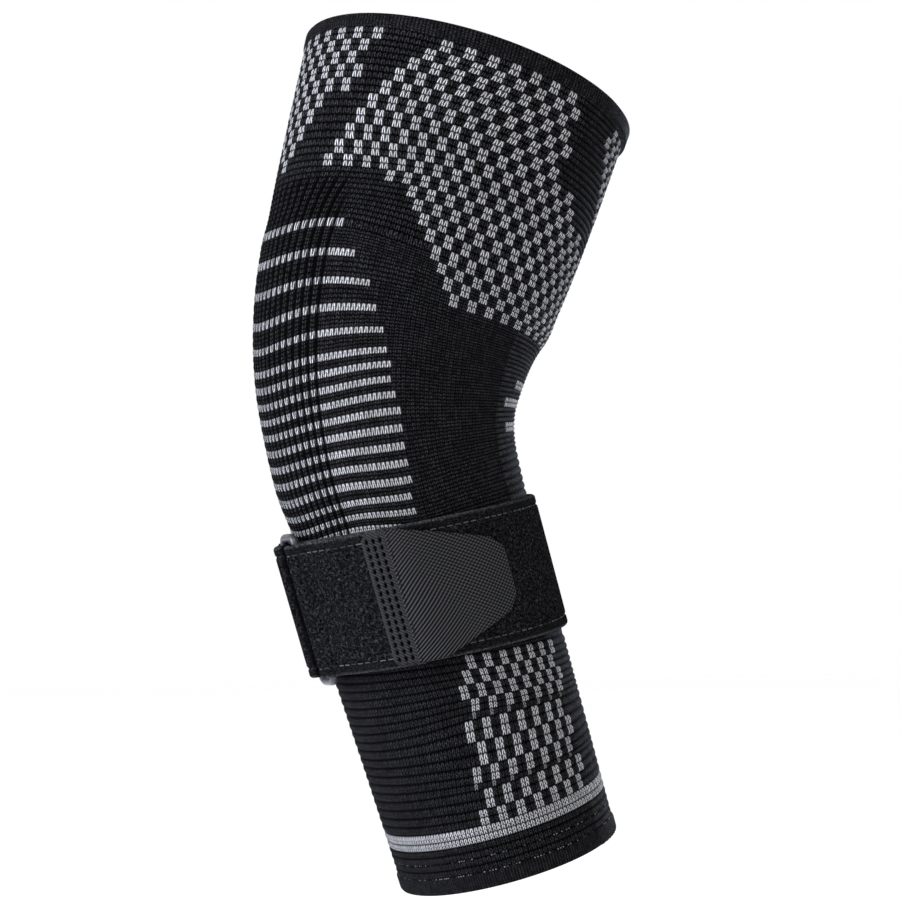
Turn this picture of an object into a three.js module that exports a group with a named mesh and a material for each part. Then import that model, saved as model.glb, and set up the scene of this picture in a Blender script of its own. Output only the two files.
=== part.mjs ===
// Elbow brace: one knitted sleeve, a strap round the forearm, its ring buckle and its hook tab.
//
// Millimetres, +Z up. The arm bends in the XZ plane: the point of the elbow looks towards -X and the
// crook towards +X. The origin is the centre of the elbow, on the arm that carries the sleeve.
// Places on the sleeve are given as `along`, the distance along the arm's axis from the elbow (upper
// arm positive, forearm negative), `turn`, the angle round the arm (0 at the back, 90 degrees at the
// outer side, -Y, and 180 at the crook's side), and `lift`, the height above the knit.
import * as THREE from 'three';

const { degToRad, lerp, clamp, smoothstep } = THREE.MathUtils;

// The arm's axis: two straight lines joined by one arc
const UPPER_LENGTH = 96.5;
const FOREARM_LENGTH = 145.5;
const UPPER_TILT = degToRad(17.6);
const FOREARM_TILT = degToRad(17.1);
const BEND_RADIUS = 90;

// Half depths of the sleeve's outer face, and its wall
const TOP_RADIUS = 50.5;
const ELBOW_RADIUS = 39.2;
const CUFF_RADIUS = 33;
const KNIT_WALL = 2;

// Bands of thicker knit
const WELT_HEIGHT = 4.8;
const WELT_RELIEF = 0.4;
const HEM_HEIGHT = 5;
const HEM_RELIEF = 0.4;
const EDGE_ROUND = 0.8;

// Padded back of the elbow
const PAD_RELIEF = 0.8;
const PAD_TOP = 40;
const PAD_BOTTOM = -34;
const PAD_HALF_TURN = degToRad(70);
const PAD_LEVEL_HALF_TURN = degToRad(42);
const PAD_FADE = 12;

// Strap
const STRAP_WIDTH = 40;
const STRAP_THICK = 2.2;
const STRAP_DOWN = 59;
const STRAP_RISE_AT_BACK = 3.3;
const LAYER_GAP = 0.3;
const SEWN_END_LENGTH = 25;
const FOLD_RUN_OUT = 7;

// Ring buckle
const RING_WIRE = 2.4;
const RING_TURN = degToRad(1.5);
const FOLD_GAP = 1;
const RING_END_GAP = 0.6;
const RING_CORNER = 2;

// Hook tab, whose root lies over the strap's free end
const TAB_TURN = degToRad(45.3);
const TAB_LENGTH = 40.5;
const TAB_THICK = 1.2;
const TAB_ROOT_HALF = 19.5;
const TAB_TIP_UPPER = 10.3;
const TAB_TIP_LOWER = 8.7;
const TAB_UPPER_SHOULDER = 9;
const TAB_LOWER_SHOULDER = 15;
const TAB_ROOT_CORNER = 2.5;
const TAB_TIP_CORNER = 2.5;
const TAB_SEWN_WIDTH = 8;
const TAB_STEP_DOWN = 18;

// Fineness of the facets
const SLEEVE_SIDES = 48;
const SLEEVE_ROW_STEP = 7;
const LINING_ROW_STEP = 12;
const STRAP_TURN_STEP = degToRad(7.5);
const FOLD_SEGMENTS = 8;
const WIRE_SIDES = 12;
const CORNER_SEGMENTS = 4;
const TAB_STEPS_ALONG = 18;
const TAB_STEPS_ACROSS = 6;

// Section table: share of the upper arm's or the forearm's length, and how far each half depth has
// gone from the elbow's radius (0) to that end's radius (1).
const SLEEVE_SECTIONS = [
  { along: -1.0, back: 1.0, front: 1.0 },
  { along: -0.75, back: 0.77, front: 0.95 },
  { along: -0.5, back: 0.52, front: 0.9 },
  { along: -0.25, back: 0.5, front: 0.8 },
  { along: -0.1, back: 0.33, front: 0.5 },
  { along: 0.0, back: 0.0, front: 0.0 },
  { along: 0.15, back: 0.2, front: 0.25 },
  { along: 0.35, back: 0.49, front: 0.58 },
  { along: 0.65, back: 0.76, front: 0.83 },
  { along: 1.0, back: 1.0, front: 1.0 },
];

const sleeveKnit = new THREE.MeshStandardMaterial({ color: 0x1c1c1f, roughness: 0.95, metalness: 0 });
const strapPile = new THREE.MeshStandardMaterial({ color: 0x19191b, roughness: 1, metalness: 0 });
const ringLacquer = new THREE.MeshStandardMaterial({ color: 0x3a3b3d, roughness: 0.3, metalness: 0.6 });
const tabPlastic = new THREE.MeshStandardMaterial({ color: 0x3c3c3e, roughness: 0.7, metalness: 0 });

// The arm's axis at a distance from the elbow: a point in the bend plane and the axis's lean towards +X.
function armAxis(along) {
  const middle = (UPPER_TILT - FOREARM_TILT) / 2;
  const halfArc = (BEND_RADIUS * (UPPER_TILT + FOREARM_TILT)) / 2;
  const onArc = clamp(along, -halfArc, halfArc);
  const lean = middle + onArc / BEND_RADIUS;
  const beyond = along - onArc;
  return {
    x: BEND_RADIUS * (Math.cos(middle) - Math.cos(lean)) + beyond * Math.sin(lean),
    z: BEND_RADIUS * (Math.sin(lean) - Math.sin(middle)) + beyond * Math.cos(lean),
    lean,
  };
}

// The section table in millimetres.
const sections = SLEEVE_SECTIONS.map((row) => {
  const onUpperArm = row.along >= 0;
  const endRadius = onUpperArm ? TOP_RADIUS : CUFF_RADIUS;
  return {
    along: row.along * (onUpperArm ? UPPER_LENGTH : FOREARM_LENGTH),
    back: lerp(ELBOW_RADIUS, endRadius, row.back),
    front: lerp(ELBOW_RADIUS, endRadius, row.front),
  };
});

// Value of one column of the sections, on a smooth curve through them.
function sectionValue(column, along) {
  const last = sections.length - 1;
  let i = 0;
  while (i < last - 1 && along > sections[i + 1].along) i += 1;
  const slope = (k) => {
    const a = sections[Math.max(k - 1, 0)];
    const b = sections[Math.min(k + 1, last)];
    return (b[column] - a[column]) / (b.along - a.along);
  };
  const [low, high] = [sections[i], sections[i + 1]];
  const span = high.along - low.along;
  const s = clamp((along - low.along) / span, 0, 1);
  return (
    low[column] * (1 + 2 * s) * (1 - s) ** 2 +
    high[column] * s * s * (3 - 2 * s) +
    slope(i) * span * s * (1 - s) ** 2 -
    slope(i + 1) * span * s * s * (1 - s)
  );
}

// Half depths of the sleeve's outer face towards the back and towards the crook.
function halfDepths(along) {
  return { back: sectionValue('back', along), front: sectionValue('front', along) };
}

// Height of the padded back of the elbow above the plain knit.
function padRelief(along, turn) {
  const fromBack = Math.abs(Math.atan2(Math.sin(turn), Math.cos(turn)));
  const acrossPad = 1 - smoothstep(fromBack, PAD_LEVEL_HALF_TURN, PAD_HALF_TURN);
  const belowTop = 1 - smoothstep(along, PAD_TOP - PAD_FADE, PAD_TOP);
  const aboveBottom = smoothstep(along, PAD_BOTTOM, PAD_BOTTOM + PAD_FADE);
  return PAD_RELIEF * acrossPad * belowTop * aboveBottom;
}

// A point over the sleeve's outer face. Each half of a section is half an ellipse.
function onArm(along, turn, lift) {
  const axis = armAxis(along);
  const { back, front } = halfDepths(along);
  const cosTurn = Math.cos(turn);
  const depth = ((cosTurn > 0 ? back : front) + lift) * cosTurn;
  const width = ((back + front) / 2 + lift) * Math.sin(turn);
  const x = axis.x - Math.cos(axis.lean) * depth;
  const z = axis.z + Math.sin(axis.lean) * depth;
  return new THREE.Vector3(x, -width, z);
}

// A closed body from rows of points, each row a closed loop. The rows join end to end into a ring, or
// the first and last loops are closed by strips between their two sides.
function bodyFromRows(rows, { ring = false } = {}) {
  const perRow = rows[0].length;
  const faces = [];
  const at = (row, i) => (row % rows.length) * perRow + (i % perRow);
  const quad = (a, b, c, d) => faces.push(a, b, c, a, c, d);
  const spans = ring ? rows.length : rows.length - 1;
  for (let row = 0; row < spans; row += 1) {
    for (let i = 0; i < perRow; i += 1) {
      quad(at(row, i), at(row, i + 1), at(row + 1, i + 1), at(row + 1, i));
    }
  }
  if (!ring) {
    const end = rows.length - 1;
    for (let i = 0; i < perRow / 2 - 1; i += 1) {
      quad(at(0, i), at(0, perRow - 1 - i), at(0, perRow - 2 - i), at(0, i + 1));
      quad(at(end, i), at(end, i + 1), at(end, perRow - 2 - i), at(end, perRow - 1 - i));
    }
  }
  const points = rows.flat();
  let volume = 0;
  for (let f = 0; f < faces.length; f += 3) {
    const [a, b, c] = [points[faces[f]], points[faces[f + 1]], points[faces[f + 2]]];
    volume += a.dot(b.clone().cross(c));
  }
  if (volume < 0) faces.reverse();
  const geometry = new THREE.BufferGeometry().setFromPoints(points);
  geometry.setIndex(faces);
  geometry.computeVertexNormals();
  return geometry;
}

// Distances along the arm from one end to the other, no further apart than a step.
function stations(from, to, step) {
  const count = Math.max(1, Math.ceil((to - from) / step));
  return Array.from({ length: count + 1 }, (_, i) => lerp(from, to, i / count));
}

// Sleeve: the outer face from the cuff's rim to the top rim, then the lining back down.
function knitSleeve() {
  const cuff = -FOREARM_LENGTH;
  const top = UPPER_LENGTH;
  const outer = [
    { along: cuff, relief: 0 },
    { along: cuff + EDGE_ROUND, relief: HEM_RELIEF },
    { along: cuff + HEM_HEIGHT - EDGE_ROUND, relief: HEM_RELIEF },
    ...stations(cuff + HEM_HEIGHT, top - WELT_HEIGHT, SLEEVE_ROW_STEP)
      .map((along) => ({ along, relief: 0 })),
    { along: top - WELT_HEIGHT + EDGE_ROUND, relief: WELT_RELIEF },
    { along: top - EDGE_ROUND, relief: WELT_RELIEF },
    { along: top, relief: 0 },
  ];
  const lining = stations(cuff, top, LINING_ROW_STEP).reverse();
  const turns = Array.from({ length: SLEEVE_SIDES }, (_, i) => (2 * Math.PI * i) / SLEEVE_SIDES);
  const outerRows = outer.map(({ along, relief }) =>
    turns.map((turn) => onArm(along, turn, relief + padRelief(along, turn))));
  const liningRows = lining.map((along) => turns.map((turn) => onArm(along, turn, -KNIT_WALL)));
  return bodyFromRows([...outerRows, ...liningRows], { ring: true });
}

// The band under the strap: straight across its width, tilted so that it rises at the back, and no
// lower than the knit between its two edges.
function onBand(turn, across, lift) {
  const middle = -STRAP_DOWN + STRAP_RISE_AT_BACK * Math.cos(turn);
  const low = middle - STRAP_WIDTH / 2;
  const high = middle + STRAP_WIDTH / 2;
  const skin = (along) => onArm(along, turn, padRelief(along, turn));
  const [lowPoint, highPoint] = [skin(low), skin(high)];
  const outward = onArm(middle, turn, 1).sub(onArm(middle, turn, 0));
  let bulge = 0;
  for (const share of [0.25, 0.5, 0.75]) {
    const between = lowPoint.clone().lerp(highPoint, share);
    bulge = Math.max(bulge, skin(lerp(low, high, share)).sub(between).dot(outward));
  }
  const flat = lowPoint.lerp(highPoint, 0.5 + across / STRAP_WIDTH);
  return flat.addScaledVector(outward, lift + bulge);
}

// Heights of the strap's layers above the knit, and the places of the ring's two long bars
const INNER_LAYER = LAYER_GAP + STRAP_THICK / 2;
const OUTER_LAYER = INNER_LAYER + STRAP_THICK + LAYER_GAP;
const FOLD_RADIUS = RING_WIRE / 2 + LAYER_GAP + STRAP_THICK / 2;
const BAR_LIFT = INNER_LAYER + FOLD_RADIUS;
const BAR_OFFSET = FOLD_RADIUS + STRAP_THICK / 2 + FOLD_GAP / 2;

// Radius of the band at the ring, which turns lengths round the arm into angles.
function bandRadius(turn) {
  const middle = -STRAP_DOWN + STRAP_RISE_AT_BACK * Math.cos(turn);
  const { back, front } = halfDepths(middle);
  return (Math.cos(turn) > 0 ? lerp(front, back, 0.5 + Math.cos(turn) / 2) : (back + front) / 2) + BAR_LIFT;
}

// Mid-line of the strap: from its sewn end over and under the back bar, round the arm the far way,
// then under and over the front bar to its free end below the hook tab.
function strapLine() {
  const radius = bandRadius(RING_TURN);
  const barTurn = BAR_OFFSET / radius;
  const line = [];
  const backBar = RING_TURN - barTurn;
  const frontBar = RING_TURN + barTurn;
  const runOut = FOLD_RUN_OUT / radius;
  const sewnEnd = backBar - SEWN_END_LENGTH / radius;
  const foldTop = BAR_LIFT + FOLD_RADIUS;
  for (const turn of stations(sewnEnd, backBar - runOut, STRAP_TURN_STEP)) {
    line.push({ turn, lift: OUTER_LAYER });
  }
  for (const s of [0.25, 0.5, 0.75]) {
    line.push({ turn: backBar - runOut * (1 - s), lift: lerp(OUTER_LAYER, foldTop, smoothstep(s, 0, 1)) });
  }
  for (let i = 0; i <= FOLD_SEGMENTS; i += 1) {
    const angle = Math.PI / 2 - (Math.PI * i) / FOLD_SEGMENTS;
    const turn = backBar + (FOLD_RADIUS * Math.cos(angle)) / radius;
    line.push({ turn, lift: BAR_LIFT + FOLD_RADIUS * Math.sin(angle) });
  }
  const wayRound = stations(0, 2 * Math.PI - 2 * barTurn, STRAP_TURN_STEP).slice(1, -1);
  for (const turned of wayRound) line.push({ turn: backBar - turned, lift: INNER_LAYER });
  for (let i = 0; i <= FOLD_SEGMENTS; i += 1) {
    const angle = -Math.PI / 2 - (Math.PI * i) / FOLD_SEGMENTS;
    const turn = frontBar + (FOLD_RADIUS * Math.cos(angle)) / radius - 2 * Math.PI;
    line.push({ turn, lift: BAR_LIFT + FOLD_RADIUS * Math.sin(angle) });
  }
  for (const s of [0.25, 0.5, 0.75]) {
    const turn = frontBar + runOut * s - 2 * Math.PI;
    line.push({ turn, lift: lerp(foldTop, OUTER_LAYER, smoothstep(s, 0, 1)) });
  }
  const freeEnd = TAB_TURN + TAB_SEWN_WIDTH / bandRadius(TAB_TURN);
  for (const turn of stations(frontBar + runOut, freeEnd, STRAP_TURN_STEP)) {
    line.push({ turn: turn - 2 * Math.PI, lift: OUTER_LAYER });
  }
  return line;
}

// Strap: its mid-line given its thickness to both sides and carried across the band.
function strap() {
  const line = strapLine();
  const radius = bandRadius(RING_TURN);
  const rows = line.map((point, i) => {
    const before = line[Math.max(i - 1, 0)];
    const after = line[Math.min(i + 1, line.length - 1)];
    const run = (after.turn - before.turn) * radius;
    const rise = after.lift - before.lift;
    const half = STRAP_THICK / 2 / Math.hypot(run, rise);
    const face = (side) => ({
      turn: point.turn - (side * half * rise) / radius,
      lift: point.lift + side * half * run,
    });
    const [near, far] = [face(1), face(-1)];
    const edge = STRAP_WIDTH / 2;
    return [
      onBand(near.turn, -edge, near.lift),
      onBand(near.turn, edge, near.lift),
      onBand(far.turn, edge, far.lift),
      onBand(far.turn, -edge, far.lift),
    ];
  });
  return bodyFromRows(rows);
}

// Ring: round wire along a rounded rectangle, whose long bars lie in the strap's two folds.
function ringBuckle() {
  const barTurn = BAR_OFFSET / bandRadius(RING_TURN);
  const ends = [-1, 1].map((side) =>
    [-1, 1].map((end) => onBand(RING_TURN + side * barTurn, (end * STRAP_WIDTH) / 2, BAR_LIFT)));
  const centre = ends.flat().reduce((sum, p) => sum.add(p), new THREE.Vector3()).divideScalar(4);
  const alongBars = ends[0][1].clone().sub(ends[0][0]).add(ends[1][1]).sub(ends[1][0]).normalize();
  const acrossRing = ends[1][0].clone().add(ends[1][1]).sub(ends[0][0]).sub(ends[0][1]);
  const halfAcross = acrossRing.length() / 4;
  acrossRing.addScaledVector(alongBars, -acrossRing.dot(alongBars)).normalize();
  const up = new THREE.Vector3().crossVectors(alongBars, acrossRing);
  const halfAlong = STRAP_WIDTH / 2 + RING_END_GAP + RING_WIRE / 2;
  const corner = Math.min(RING_CORNER, halfAcross);
  const rows = [];
  [[1, 1], [-1, 1], [-1, -1], [1, -1]].forEach(([signX, signY], quarter) => {
    for (let i = 0; i <= CORNER_SEGMENTS; i += 1) {
      const angle = (Math.PI / 2) * (quarter + i / CORNER_SEGMENTS);
      const [cosA, sinA] = [Math.cos(angle), Math.sin(angle)];
      const x = signX * (halfAlong - corner) + corner * cosA;
      const y = signY * (halfAcross - corner) + corner * sinA;
      const onPath = centre.clone().addScaledVector(alongBars, x).addScaledVector(acrossRing, y);
      const outward = alongBars.clone().multiplyScalar(cosA).addScaledVector(acrossRing, sinA);
      rows.push(Array.from({ length: WIRE_SIDES }, (_, k) => {
        const around = (2 * Math.PI * k) / WIRE_SIDES;
        return onPath.clone()
          .addScaledVector(outward, (RING_WIRE / 2) * Math.cos(around))
          .addScaledVector(up, (RING_WIRE / 2) * Math.sin(around));
      }));
    }
  });
  return bodyFromRows(rows, { ring: true });
}

// How far a rounded corner has drawn an edge in, at a distance from its end.
function cornerInset(radius, distance) {
  return distance >= radius ? 0 : radius - Math.sqrt(radius ** 2 - (radius - distance) ** 2);
}

// Half width of the hook tab on one side: parallel up to its shoulder, then tapering to its tip.
function tabHalfWidth(along, shoulder, tip) {
  const taper = clamp((along - shoulder) / (TAB_LENGTH - shoulder), 0, 1);
  const rounding = cornerInset(TAB_ROOT_CORNER, along) + cornerInset(TAB_TIP_CORNER, TAB_LENGTH - along);
  return lerp(TAB_ROOT_HALF, tip, taper) - rounding;
}

// Hook tab: lies on the strap's free end, then steps down on the layer below it.
function hookTab() {
  const radius = bandRadius(TAB_TURN);
  const onEnd = OUTER_LAYER + STRAP_THICK / 2 + LAYER_GAP;
  const onInner = INNER_LAYER + STRAP_THICK / 2 + LAYER_GAP;
  const rows = stations(0, TAB_LENGTH, TAB_LENGTH / TAB_STEPS_ALONG).map((along) => {
    const turn = TAB_TURN + along / radius;
    const down = smoothstep(along, TAB_SEWN_WIDTH + LAYER_GAP * 2, TAB_SEWN_WIDTH + TAB_STEP_DOWN);
    const under = lerp(onEnd, onInner, down);
    const low = -tabHalfWidth(along, TAB_LOWER_SHOULDER, TAB_TIP_LOWER);
    const high = tabHalfWidth(along, TAB_UPPER_SHOULDER, TAB_TIP_UPPER);
    const across = Array.from({ length: TAB_STEPS_ACROSS + 1 }, (_, i) =>
      lerp(low, high, i / TAB_STEPS_ACROSS));
    return [
      ...across.map((v) => onBand(turn, v, under + TAB_THICK)),
      ...across.reverse().map((v) => onBand(turn, v, under)),
    ];
  });
  return bodyFromRows(rows);
}

// One named mesh.
function piece(name, geometry, material) {
  const mesh = new THREE.Mesh(geometry, material);
  mesh.name = name;
  return mesh;
}

const brace = new THREE.Group();
brace.add(piece('knit_sleeve', knitSleeve(), sleeveKnit));
brace.add(piece('strap', strap(), strapPile));
brace.add(piece('ring_buckle', ringBuckle(), ringLacquer));
brace.add(piece('hook_tab', hookTab(), tabPlastic));

export default brace;
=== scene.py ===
"""Elbow brace: knitted sleeve, forearm strap, ring buckle and hook tab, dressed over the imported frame."""
import logging
import math
from dataclasses import dataclass
from enum import Enum
from typing import NamedTuple

import bpy
import numpy as np
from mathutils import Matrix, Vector


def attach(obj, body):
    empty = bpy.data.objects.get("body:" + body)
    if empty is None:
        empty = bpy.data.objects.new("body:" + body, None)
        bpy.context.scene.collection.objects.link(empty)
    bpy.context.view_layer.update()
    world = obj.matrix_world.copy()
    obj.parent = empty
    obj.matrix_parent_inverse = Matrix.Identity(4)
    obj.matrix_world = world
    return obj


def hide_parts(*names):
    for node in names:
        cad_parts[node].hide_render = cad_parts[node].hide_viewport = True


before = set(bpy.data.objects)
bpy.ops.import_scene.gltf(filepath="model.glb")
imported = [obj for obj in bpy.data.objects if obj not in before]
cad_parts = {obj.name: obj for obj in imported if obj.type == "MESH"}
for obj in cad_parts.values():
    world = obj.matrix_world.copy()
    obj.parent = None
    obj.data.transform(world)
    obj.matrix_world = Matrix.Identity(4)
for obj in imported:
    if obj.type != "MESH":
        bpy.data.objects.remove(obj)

logging.basicConfig(level=logging.INFO, format="%(message)s")
log = logging.getLogger("brace")

MM = 0.001


def smooth(x: np.ndarray, low: float, high: float) -> np.ndarray:
    """Smooth step: 0 below low, 1 above high, and 3s^2 - 2s^3 between them.

    Args:
        x: Values to step.
        low: Where the step starts.
        high: Where the step ends.
    Returns:
        The stepped values.
    """
    s = np.clip((x - low) / (high - low), 0.0, 1.0)
    return s * s * (3.0 - 2.0 * s)


def curve_weights(x: np.ndarray, nodes: np.ndarray) -> np.ndarray:
    """Weights of a smooth curve through values given at nodes.

    Each span is a cubic whose end slopes are the slopes between the neighbours of its ends.

    Args:
        x: Places at which the curve is read.
        nodes: Places of the given values, rising.
    Returns:
        A matrix with one row for each place and one column for each node.
    """
    x = np.clip(np.atleast_1d(x), nodes[0], nodes[-1])
    last = len(nodes) - 1
    slope = np.zeros((len(nodes), len(nodes)))
    for k in range(len(nodes)):
        a, b = max(k - 1, 0), min(k + 1, last)
        slope[k, b] += 1.0 / (nodes[b] - nodes[a])
        slope[k, a] -= 1.0 / (nodes[b] - nodes[a])
    i = np.clip(np.searchsorted(nodes, x, side="right") - 1, 0, last - 1)
    span = (nodes[i + 1] - nodes[i])[:, None]
    s = (x[:, None] - nodes[i][:, None]) / span
    unit = np.eye(len(nodes))
    return (
        unit[i] * (1 + 2 * s) * (1 - s) ** 2
        + unit[i + 1] * s * s * (3 - 2 * s)
        + slope[i] * span * s * (1 - s) ** 2
        - slope[i + 1] * span * s * s * (1 - s)
    )


class At(NamedTuple):
    """One row of a short table: a place and the value there."""

    place: float
    value: float


def read(table: tuple, place: np.ndarray | float) -> np.ndarray:
    """Values of a table of At rows, straight between its rows."""
    places, values = zip(*table)
    return np.interp(place, places, values)


class Layout(Enum):
    """How a grid of points closes."""

    TUBE = "columns close round"
    RING = "columns and rows close round"
    BAR = "columns close round, ends capped by strips"


@dataclass
class Cloth:
    """A mesh made from a grid of points.

    Attributes:
        points: Array of rows by columns by three, in millimetres.
        layout: How the grid closes.
    """

    points: np.ndarray
    layout: Layout = Layout.RING

    def spans(self) -> tuple[np.ndarray, np.ndarray]:
        """Row and column of the first corner of each side face."""
        rows, cols = self.points.shape[:2]
        spans = rows if self.layout is Layout.RING else rows - 1
        r, c = np.meshgrid(np.arange(spans), np.arange(cols), indexing="ij")
        return r.ravel(), c.ravel()

    def faces(self) -> tuple[np.ndarray, bool]:
        """Corners of the side faces and caps, facing outwards, and whether they were turned for that.

        A mesh that is inside out has a negative volume, the sum of a . (b x c) + a . (c x d) over its faces.
        """
        rows, cols = self.points.shape[:2]
        r, c = self.spans()
        r1, c1 = (r + 1) % rows, (c + 1) % cols
        quads = np.stack([r * cols + c, r * cols + c1, r1 * cols + c1, r1 * cols + c], -1)
        if self.layout is Layout.BAR:
            i = np.arange(cols // 2 - 1)
            end = (rows - 1) * cols
            start_cap = np.stack([i, cols - 1 - i, cols - 2 - i, i + 1], -1)
            end_cap = np.stack([end + i, end + i + 1, end + cols - 2 - i, end + cols - 1 - i], -1)
            quads = np.concatenate([quads, start_cap, end_cap])
        flat = self.points.reshape(-1, 3)
        a, b, c, d = (flat[quads[:, k]] for k in range(4))
        turned = bool((a * (np.cross(b, c) + np.cross(c, d))).sum() < 0)
        return quads[:, ::-1] if turned else quads, turned

    def build(
        self,
        name: str,
        material: bpy.types.Material,
        maps: dict[str, np.ndarray] | None = None,
        marks: dict[str, np.ndarray] | None = None,
    ) -> bpy.types.Object:
        """Puts the grid into a Blender object at the origin.

        Args:
            name: Name of the object.
            material: Its material.
            maps: UV maps, each an array one row and one column larger than the faces' grid.
            marks: Numbers by name, one for each side face.
        Returns:
            The new object.
        """
        faces, turned = self.faces()
        flat = self.points.reshape(-1, 3) * MM
        mesh = bpy.data.meshes.new(name)
        mesh.vertices.add(len(flat))
        mesh.vertices.foreach_set("co", flat.astype(np.float32).ravel())
        mesh.loops.add(faces.size)
        mesh.loops.foreach_set("vertex_index", faces.astype(np.int32).ravel())
        mesh.polygons.add(len(faces))
        mesh.polygons.foreach_set("loop_start", np.arange(0, faces.size, 4, dtype=np.int32))
        mesh.update(calc_edges=True)
        mesh.polygons.foreach_set("use_smooth", np.ones(len(faces), dtype=bool))
        r, c = self.spans()
        caps = len(faces) - len(r)
        for map_name, grid in (maps or {}).items():
            corners = [grid[r, c], grid[r, c + 1], grid[r + 1, c + 1], grid[r + 1, c]]
            uv = np.stack(corners[::-1] if turned else corners, 1)
            uv = np.concatenate([uv, np.zeros((caps, 4, 2))])
            mesh.uv_layers.new(name=map_name).data.foreach_set("uv", uv.astype(np.float32).ravel())
        for mark, values in (marks or {}).items():
            numbers = np.concatenate([values.ravel(), np.zeros(caps)]).astype(np.float32)
            mesh.attributes.new(mark, "FLOAT", "FACE").data.foreach_set("value", numbers)
        mesh.materials.append(material)
        mesh.validate()
        piece = bpy.data.objects.new(name, mesh)
        bpy.context.scene.collection.objects.link(piece)
        log.info("%s: %d faces", name, len(faces))
        return piece


class Wire:
    """A number in a material, which Python's operators turn into Math nodes."""

    def __init__(self, paint: "Paint", socket: bpy.types.NodeSocket) -> None:
        """Wraps one output socket of a material's nodes."""
        self.paint = paint
        self.socket = socket

    def math(self, operation: str, *others: "Wire | float") -> "Wire":
        """One Math node on this number and the others."""
        return self.paint.math(operation, self, *others)

    def __add__(self, other: "Wire | float") -> "Wire":
        """Sum."""
        return self.math("ADD", other)

    __radd__ = __add__

    def __sub__(self, other: "Wire | float") -> "Wire":
        """Difference."""
        return self.math("SUBTRACT", other)

    def __rsub__(self, other: "Wire | float") -> "Wire":
        """Difference the other way round."""
        return self.paint.math("SUBTRACT", other, self)

    def __mul__(self, other: "Wire | float") -> "Wire":
        """Product."""
        return self.math("MULTIPLY", other)

    __rmul__ = __mul__

    def __abs__(self) -> "Wire":
        """Size without sign."""
        return self.math("ABSOLUTE")

    def fraction(self) -> "Wire":
        """What is left above the whole number below."""
        return self.math("FRACT")

    def floor(self) -> "Wire":
        """The whole number below."""
        return self.math("FLOOR")

    def at_least(self, other: "Wire | float") -> "Wire":
        """The larger of the two."""
        return self.math("MAXIMUM", other)

    def at_most(self, other: "Wire | float") -> "Wire":
        """The smaller of the two."""
        return self.math("MINIMUM", other)

    def wave(self) -> "Wire":
        """Sine of an angle in radians, laid between 0 and 1."""
        return self.math("SINE") * 0.5 + 0.5

    def to_edge(self) -> "Wire":
        """Distance of a fraction from 0 or 1, whichever is nearer."""
        return self.at_most(1 - self)

    def towards(self, other: "Wire", share: "Wire") -> "Wire":
        """This number moved a share of the way to another."""
        return self + (other - self) * share

    def near(self, middle: float, far: float, close: float) -> "Wire":
        """1 within a distance close of a middle, fading smoothly to 0 at a distance far."""
        return abs(self - middle).step(far, close)

    def step(self, low: float, high: float) -> "Wire":
        """Smooth step from 0 at low to 1 at high, or falling where low is above high."""
        return self.paint.output(
            "ShaderNodeMapRange",
            "Result",
            {"interpolation_type": "SMOOTHSTEP"},
            {"Value": self, "From Min": low, "From Max": high},
        )

    def between(self, low: float, high: float) -> "Wire":
        """This share of the way from low to high."""
        return self * (high - low) + low


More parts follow.
